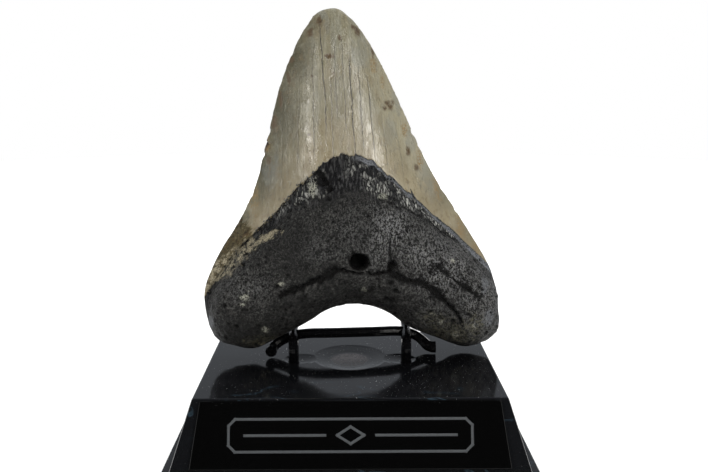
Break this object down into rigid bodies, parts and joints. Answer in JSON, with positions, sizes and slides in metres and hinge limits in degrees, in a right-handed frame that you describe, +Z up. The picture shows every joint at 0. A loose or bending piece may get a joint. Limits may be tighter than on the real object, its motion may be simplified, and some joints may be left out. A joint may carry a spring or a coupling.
{
  "type": "fossil megalodon tooth",
  "caption": "Fossil megalodon tooth with a worn enamel crown and a dark forked root, held upright by a bent rod cradle on a glossy black stand with sloping sides and a blank name plate.",
  "frame": {"origin": "centre of the stand's underside", "axes": "+Z up, -Y towards the viewer, out of the name plate and the inner face of the tooth, +X to the viewer's right"},
  "size_m": [0.121, 0.088, 0.1532],
  "materials": {
    "fossil": "mineralised enamel in olive grey and tan with fine cracks, over a charcoal root that is porous and slightly glossy",
    "vinyl_coated_rod": "steel rod dipped in glossy black vinyl, slightly uneven",
    "black_resin": "polished black cast resin with dust and fine scratches",
    "black_plate": "polished black engraving plate with bright bevelled edges and a pale engraved border"
  },
  "bodies": {
    "root": {"tooth": "fossil", "cradle_frame": "vinyl_coated_rod", "stand_base": "black_resin", "name_plate": "black_plate"}
  },
  "joints": []
}
